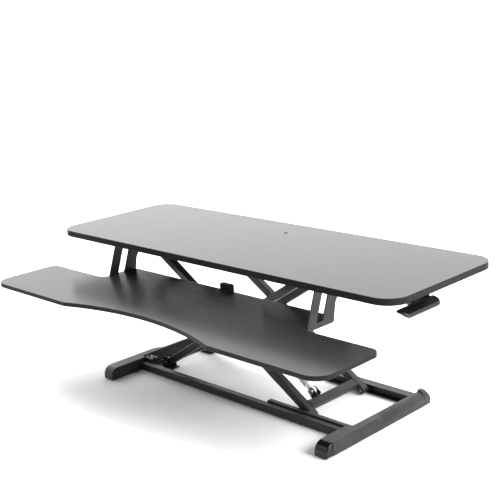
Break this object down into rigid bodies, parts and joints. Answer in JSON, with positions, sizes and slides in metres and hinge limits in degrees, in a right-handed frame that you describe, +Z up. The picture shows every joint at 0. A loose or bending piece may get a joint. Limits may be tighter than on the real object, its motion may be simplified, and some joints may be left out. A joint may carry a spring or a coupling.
{
  "type": "standing desk converter",
  "caption": "Wide black desktop sit-stand converter with a lower keyboard tray, carried level on a scissor lift with a gas spring and a release paddle.",
  "frame": {"origin": "middle of the overall footprint, on the surface that the pads stand on", "axes": "+X to the user's right along the work surface, +Y away from the user, +Z up"},
  "size_m": [1.0786, 0.574, 0.3674],
  "materials": {
    "laminate_top": "satin black laminate on a board core, with a very fine texture",
    "black_steel": "satin black powder coat",
    "black_plastic": "glossy black moulded plastic",
    "black_rubber": "matt rubber",
    "black_nylon": "matt moulded nylon",
    "polished_rod": "hard chrome, polished",
    "zinc_hardware": "zinc plated, satin"
  },
  "bodies": {
    "base": {"foot_left": "black_steel", "foot_right": "black_steel", "foot_cap_left_front": "black_plastic", "foot_cap_left_rear": "black_plastic", "foot_cap_right_front": "black_plastic", "foot_cap_right_rear": "black_plastic", "foot_pad_left_front": "black_rubber", "foot_pad_left_rear": "black_rubber", "foot_pad_right_front": "black_rubber", "foot_pad_right_rear": "black_rubber", "front_rail": "black_steel", "rear_rail": "black_steel", "lower_track_front": "black_steel", "lower_track_rear": "black_steel", "lower_pivot_bracket_front": "black_steel", "lower_pivot_bracket_rear": "black_steel", "lower_pivot_pin_front": "zinc_hardware", "lower_pivot_pin_rear": "zinc_hardware"},
    "inner_frame": {"inner_arm_front": "black_steel", "inner_arm_rear": "black_steel", "inner_crossbar_lower": "black_steel", "inner_crossbar_middle": "black_steel", "inner_crossbar_upper": "black_steel", "spring_upper_bracket": "black_steel", "centre_pivot_bolt_front": "zinc_hardware", "centre_pivot_bolt_rear": "zinc_hardware", "upper_roller_axle_front": "zinc_hardware", "upper_roller_axle_rear": "zinc_hardware"},
    "outer_frame": {"outer_arm_front": "black_steel", "outer_arm_rear": "black_steel", "outer_crossbar_lower": "black_steel", "outer_crossbar_upper": "black_steel", "spring_lower_bracket": "black_steel", "spring_lower_pin": "zinc_hardware", "lower_roller_axle_front": "zinc_hardware", "lower_roller_axle_rear": "zinc_hardware"},
    "work_surface": {"desktop": "laminate_top", "keyboard_tray": "laminate_top", "tray_bracket_left": "black_steel", "tray_bracket_right": "black_steel", "tray_rear_stop": "black_plastic", "upper_pivot_bracket_front": "black_steel", "upper_pivot_bracket_rear": "black_steel", "upper_pivot_pin_front": "zinc_hardware", "upper_pivot_pin_rear": "zinc_hardware", "upper_track_front": "black_steel", "upper_track_rear": "black_steel", "paddle_bracket": "black_steel", "paddle_pin": "zinc_hardware"},
    "spring_body": {"gas_spring_cylinder": "black_steel"},
    "spring_piston": {"gas_spring_rod": "polished_rod", "gas_spring_rod_end": "zinc_hardware"},
    "lower_wheel_front": {"lower_roller_front": "black_nylon"},
    "lower_wheel_rear": {"lower_roller_rear": "black_nylon"},
    "upper_wheel_front": {"upper_roller_front": "black_nylon"},
    "upper_wheel_rear": {"upper_roller_rear": "black_nylon"},
    "release_lever": {"release_paddle": "black_plastic"}
  },
  "joints": [
    {"name": "lift", "type": "hinge", "parent": "base", "child": "inner_frame", "pos_m": [-0.30075, 0.12, 0.013], "axis": [0, -1, 0], "range_deg": [-25, 17]},
    {"name": "scissor_pivot", "type": "hinge", "parent": "inner_frame", "child": "outer_frame", "pos_m": [-0.04489, 0.12, 0.176], "axis": [0, -1, 0], "range_deg": [-34.5, 50.5]},
    {"name": "upper_pivot", "type": "hinge", "parent": "outer_frame", "child": "work_surface", "pos_m": [-0.30075, 0.12, 0.339], "axis": [0, -1, 0], "range_deg": [-25.5, 17.5]},
    {"name": "spring_swing", "type": "hinge", "parent": "outer_frame", "child": "spring_body", "pos_m": [0.17202, 0.084, 0.04492], "axis": [0, -1, 0], "range_deg": [-2.4, 3.4]},
    {"name": "spring_stroke", "type": "slide", "parent": "spring_body", "child": "spring_piston", "axis": [-0.7809, 0, 0.6246], "range_m": [-0.0245, 0.017]},
    {"name": "lower_wheel_front_turn", "type": "hinge", "parent": "outer_frame", "child": "lower_wheel_front", "pos_m": [0.21097, 0.022, 0.013], "axis": [0, -1, 0], "range_deg": [-805, 550]},
    {"name": "lower_wheel_rear_turn", "type": "hinge", "parent": "outer_frame", "child": "lower_wheel_rear", "pos_m": [0.21097, 0.234, 0.013], "axis": [0, -1, 0], "range_deg": [-805, 550]},
    {"name": "upper_wheel_front_turn", "type": "hinge", "parent": "inner_frame", "child": "upper_wheel_front", "pos_m": [0.21097, 0.0435, 0.339], "axis": [0, -1, 0], "range_deg": [-550, 805]},
    {"name": "upper_wheel_rear_turn", "type": "hinge", "parent": "inner_frame", "child": "upper_wheel_rear", "pos_m": [0.21097, 0.213, 0.339], "axis": [0, -1, 0], "range_deg": [-550, 805]},
    {"name": "paddle_squeeze", "type": "hinge", "parent": "work_surface", "child": "release_lever", "pos_m": [0.50225, 0.011, 0.3385], "axis": [0, -1, 0], "range_deg": [0, 8], "stiffness_Nm_per_rad": 2, "springref_deg": -4.58}
  ],
  "couplings": [
    {"joint": "scissor_pivot", "follows": "lift", "ratio": -2},
    {"joint": "upper_pivot", "follows": "lift", "ratio": 1},
    {"joint": "spring_swing", "follows": "lift", "ratio": -0.125},
    {"joint": "spring_stroke", "follows": "lift", "m_per_rad": 0.0541},
    {"joint": "lower_wheel_front_turn", "follows": "lift", "ratio": 31.9},
    {"joint": "lower_wheel_rear_turn", "follows": "lift", "ratio": 31.9},
    {"joint": "upper_wheel_front_turn", "follows": "lift", "ratio": -31.9},
    {"joint": "upper_wheel_rear_turn", "follows": "lift", "ratio": -31.9}
  ]
}
